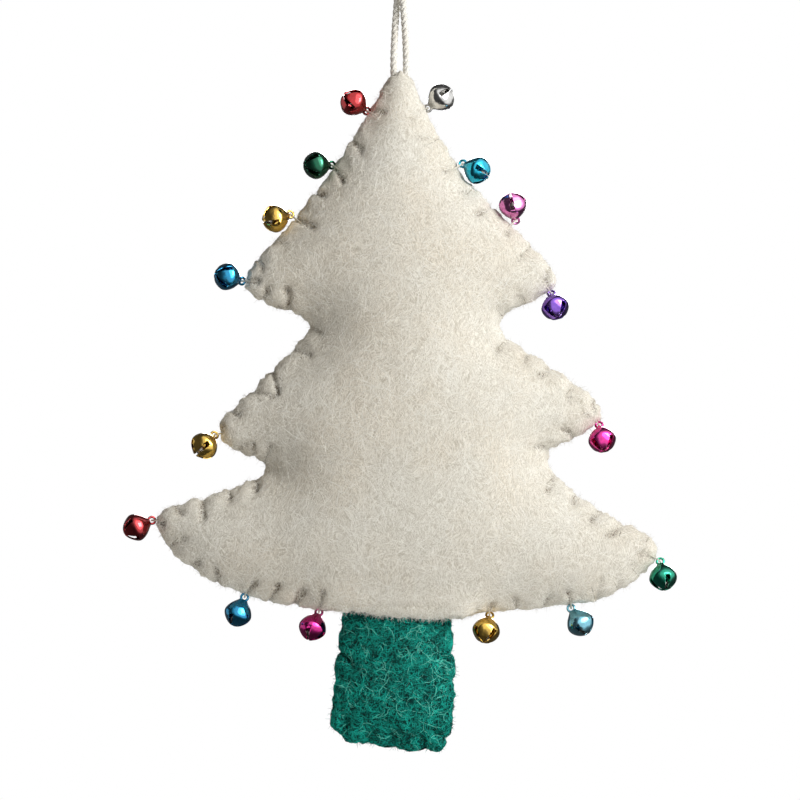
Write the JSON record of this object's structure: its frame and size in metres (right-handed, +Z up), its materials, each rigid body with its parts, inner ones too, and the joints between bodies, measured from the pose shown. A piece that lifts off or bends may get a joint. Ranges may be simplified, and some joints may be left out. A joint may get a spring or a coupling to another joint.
{
  "type": "felt christmas ornament",
  "caption": "Stuffed felt fir tree ornament with a green felt trunk, whip-stitched edges, small coloured jingle bells swinging along its edges and a twisted cord loop to hang it by.",
  "frame": {"origin": "inside top of the cord loop, where a hook bears on it", "axes": "+Z up along the hanging cord, +X to the right seen from the front, front of the tree toward -Y"},
  "size_m": [0.1231, 0.0232, 0.2135],
  "materials": {
    "cream_felt": "matted wool felt",
    "green_felt": "matted wool felt",
    "stuffing": "loose fibre",
    "cream_thread": "spun thread",
    "green_thread": "spun thread",
    "cord": "twisted cotton",
    "pellet_steel": "plain",
    "bell_silver": "bright plated",
    "bell_red": "glossy transparent lacquer",
    "bell_dark_green": "glossy transparent lacquer",
    "bell_gold": "glossy transparent lacquer",
    "bell_blue": "glossy transparent lacquer",
    "bell_dark_red": "glossy transparent lacquer",
    "bell_magenta": "glossy transparent lacquer",
    "bell_light_blue": "glossy transparent lacquer",
    "bell_green": "glossy transparent lacquer",
    "bell_pink": "glossy transparent lacquer",
    "bell_purple": "glossy transparent lacquer",
    "bell_lilac": "glossy transparent lacquer",
    "bell_cyan": "glossy transparent lacquer"
  },
  "bodies": {
    "loop": {"hanging_loop": "cord"},
    "tree": {"front_panel": "cream_felt", "back_panel": "cream_felt", "filling": "stuffing", "edge_thread_left": "cream_thread", "edge_thread_right": "cream_thread", "trunk_front": "green_felt", "trunk_back": "green_felt", "trunk_filling": "stuffing", "trunk_thread": "green_thread", "loop_knot": "cord"},
    "bell_01": {"bell_01_shell": "bell_red", "bell_01_shank": "bell_red"},
    "pellet_01": {"bell_01_pellet": "pellet_steel"},
    "bell_02": {"bell_02_shell": "bell_dark_green", "bell_02_shank": "bell_dark_green"},
    "pellet_02": {"bell_02_pellet": "pellet_steel"},
    "bell_03": {"bell_03_shell": "bell_gold", "bell_03_shank": "bell_gold"},
    "pellet_03": {"bell_03_pellet": "pellet_steel"},
    "bell_04": {"bell_04_shell": "bell_blue", "bell_04_shank": "bell_blue"},
    "pellet_04": {"bell_04_pellet": "pellet_steel"},
    "bell_05": {"bell_05_shell": "bell_gold", "bell_05_shank": "bell_gold"},
    "pellet_05": {"bell_05_pellet": "pellet_steel"},
    "bell_06": {"bell_06_shell": "bell_dark_red", "bell_06_shank": "bell_dark_red"},
    "pellet_06": {"bell_06_pellet": "pellet_steel"},
    "bell_07": {"bell_07_shell": "bell_blue", "bell_07_shank": "bell_blue"},
    "pellet_07": {"bell_07_pellet": "pellet_steel"},
    "bell_08": {"bell_08_shell": "bell_magenta", "bell_08_shank": "bell_magenta"},
    "pellet_08": {"bell_08_pellet": "pellet_steel"},
    "bell_09": {"bell_09_shell": "bell_gold", "bell_09_shank": "bell_gold"},
    "pellet_09": {"bell_09_pellet": "pellet_steel"},
    "bell_10": {"bell_10_shell": "bell_light_blue", "bell_10_shank": "bell_light_blue"},
    "pellet_10": {"bell_10_pellet": "pellet_steel"},
    "bell_11": {"bell_11_shell": "bell_green", "bell_11_shank": "bell_green"},
    "pellet_11": {"bell_11_pellet": "pellet_steel"},
    "bell_12": {"bell_12_shell": "bell_pink", "bell_12_shank": "bell_pink"},
    "pellet_12": {"bell_12_pellet": "pellet_steel"},
    "bell_13": {"bell_13_shell": "bell_purple", "bell_13_shank": "bell_purple"},
    "pellet_13": {"bell_13_pellet": "pellet_steel"},
    "bell_14": {"bell_14_shell": "bell_lilac", "bell_14_shank": "bell_lilac"},
    "pellet_14": {"bell_14_pellet": "pellet_steel"},
    "bell_15": {"bell_15_shell": "bell_cyan", "bell_15_shank": "bell_cyan"},
    "pellet_15": {"bell_15_pellet": "pellet_steel"},
    "bell_16": {"bell_16_shell": "bell_silver", "bell_16_shank": "bell_silver"},
    "pellet_16": {"bell_16_pellet": "pellet_steel"}
  },
  "joints": [
    {"name": "tree_swing", "type": "hinge", "parent": "loop", "child": "tree", "pos_m": [0, 0, -0.0604], "axis": [1, 0, 0], "range_deg": [-85, 85]},
    {"name": "bell_01_swing", "type": "hinge", "parent": "tree", "child": "bell_01", "pos_m": [-0.00742, 0, -0.07001], "axis": [0, 1, 0], "range_deg": [-40, 38]},
    {"name": "pellet_01_rattle", "type": "slide", "parent": "bell_01", "child": "pellet_01", "axis": [-0.7488, -0.4695, 0.4679], "range_m": [0, 0.0018]},
    {"name": "bell_02_swing", "type": "hinge", "parent": "tree", "child": "bell_02", "pos_m": [-0.01517, 0, -0.08205], "axis": [0, 1, 0], "range_deg": [-2, 78]},
    {"name": "pellet_02_rattle", "type": "slide", "parent": "bell_02", "child": "pellet_02", "axis": [0.8824, 0.4695, 0.0308], "range_m": [0, 0.0018]},
    {"name": "bell_03_swing", "type": "hinge", "parent": "tree", "child": "bell_03", "pos_m": [-0.02438, 0, -0.09298], "axis": [0, 1, 0], "range_deg": [-2, 110]},
    {"name": "pellet_03_rattle", "type": "slide", "parent": "bell_03", "child": "pellet_03", "axis": [0.8595, 0.4384, 0.2628], "range_m": [0, 0.0018]},
    {"name": "bell_04_swing", "type": "hinge", "parent": "tree", "child": "bell_04", "pos_m": [-0.03513, 0, -0.1078], "axis": [0, 1, 0], "range_deg": [-68, 44]},
    {"name": "pellet_04_rattle", "type": "slide", "parent": "bell_04", "child": "pellet_04", "axis": [-0.8325, -0.5, 0.2387], "range_m": [0, 0.0018]},
    {"name": "bell_05_swing", "type": "hinge", "parent": "tree", "child": "bell_05", "pos_m": [-0.04122, 0, -0.14204], "axis": [0, 1, 0], "range_deg": [-26, 86]},
    {"name": "pellet_05_rattle", "type": "slide", "parent": "bell_05", "child": "pellet_05", "axis": [0.5654, 0.5592, 0.6063], "range_m": [0, 0.0018]},
    {"name": "bell_06_swing", "type": "hinge", "parent": "tree", "child": "bell_06", "pos_m": [-0.05515, 0, -0.16099], "axis": [0, 1, 0], "range_deg": [-42, 102]},
    {"name": "pellet_06_rattle", "type": "slide", "parent": "bell_06", "child": "pellet_06", "axis": [0.8936, 0.2079, 0.3978], "range_m": [0, 0.0018]},
    {"name": "bell_07_swing", "type": "hinge", "parent": "tree", "child": "bell_07", "pos_m": [-0.03454, 0, -0.17808], "axis": [0, 1, 0], "range_deg": [-54, 50]},
    {"name": "pellet_07_rattle", "type": "slide", "parent": "bell_07", "child": "pellet_07", "axis": [0.3746, 0, 0.9272], "range_m": [0, 0.0018]},
    {"name": "bell_08_swing", "type": "hinge", "parent": "tree", "child": "bell_08", "pos_m": [-0.01803, 0, -0.18139], "axis": [0, 1, 0], "range_deg": [-60, 30]},
    {"name": "pellet_08_rattle", "type": "slide", "parent": "bell_08", "child": "pellet_08", "axis": [0.352, 0.342, 0.8713], "range_m": [0, 0.0018]},
    {"name": "bell_09_swing", "type": "hinge", "parent": "tree", "child": "bell_09", "pos_m": [0.01993, 0, -0.18208], "axis": [0, 1, 0], "range_deg": [-62, 20]},
    {"name": "pellet_09_rattle", "type": "slide", "parent": "bell_09", "child": "pellet_09", "axis": [0.2095, 0.5, 0.8403], "range_m": [0, 0.0018]},
    {"name": "bell_10_swing", "type": "hinge", "parent": "tree", "child": "bell_10", "pos_m": [0.03803, 0, -0.18052], "axis": [0, 1, 0], "range_deg": [-26, 74]},
    {"name": "pellet_10_rattle", "type": "slide", "parent": "bell_10", "child": "pellet_10", "axis": [-0.5219, 0.1736, 0.8352], "range_m": [0, 0.0018]},
    {"name": "bell_11_swing", "type": "hinge", "parent": "tree", "child": "bell_11", "pos_m": [0.05786, 0, -0.17014], "axis": [0, 1, 0], "range_deg": [-110, 12]},
    {"name": "pellet_11_rattle", "type": "slide", "parent": "bell_11", "child": "pellet_11", "axis": [-0.1271, 0.4067, 0.9047], "range_m": [0, 0.0018]},
    {"name": "bell_12_swing", "type": "hinge", "parent": "tree", "child": "bell_12", "pos_m": [0.04425, 0, -0.13981], "axis": [0, 1, 0], "range_deg": [-86, 10]},
    {"name": "pellet_12_rattle", "type": "slide", "parent": "bell_12", "child": "pellet_12", "axis": [-0.1473, 0.5299, 0.8352], "range_m": [0, 0.0018]},
    {"name": "bell_13_swing", "type": "hinge", "parent": "tree", "child": "bell_13", "pos_m": [0.0336, 0, -0.1106], "axis": [0, 1, 0], "range_deg": [-68, 18]},
    {"name": "pellet_13_rattle", "type": "slide", "parent": "bell_13", "child": "pellet_13", "axis": [-0.1957, 0.5878, 0.785], "range_m": [0, 0.0018]},
    {"name": "bell_14_swing", "type": "hinge", "parent": "tree", "child": "bell_14", "pos_m": [0.02571, 0, -0.09436], "axis": [0, 1, 0], "range_deg": [-4, 110]},
    {"name": "pellet_14_rattle", "type": "slide", "parent": "bell_14", "child": "pellet_14", "axis": [-0.1801, -0.5, 0.8471], "range_m": [0, 0.0018]},
    {"name": "bell_15_swing", "type": "hinge", "parent": "tree", "child": "bell_15", "pos_m": [0.01397, 0, -0.08171], "axis": [0, 1, 0], "range_deg": [-110, 2]},
    {"name": "pellet_15_rattle", "type": "slide", "parent": "bell_15", "child": "pellet_15", "axis": [-0.8333, 0.3746, 0.4065], "range_m": [0, 0.0018]},
    {"name": "bell_16_swing", "type": "hinge", "parent": "tree", "child": "bell_16", "pos_m": [0.00621, 0, -0.06937], "axis": [0, 1, 0], "range_deg": [-34, 60]},
    {"name": "pellet_16_rattle", "type": "slide", "parent": "bell_16", "child": "pellet_16", "axis": [0.776, -0.1736, 0.6063], "range_m": [0, 0.0018]}
  ]
}
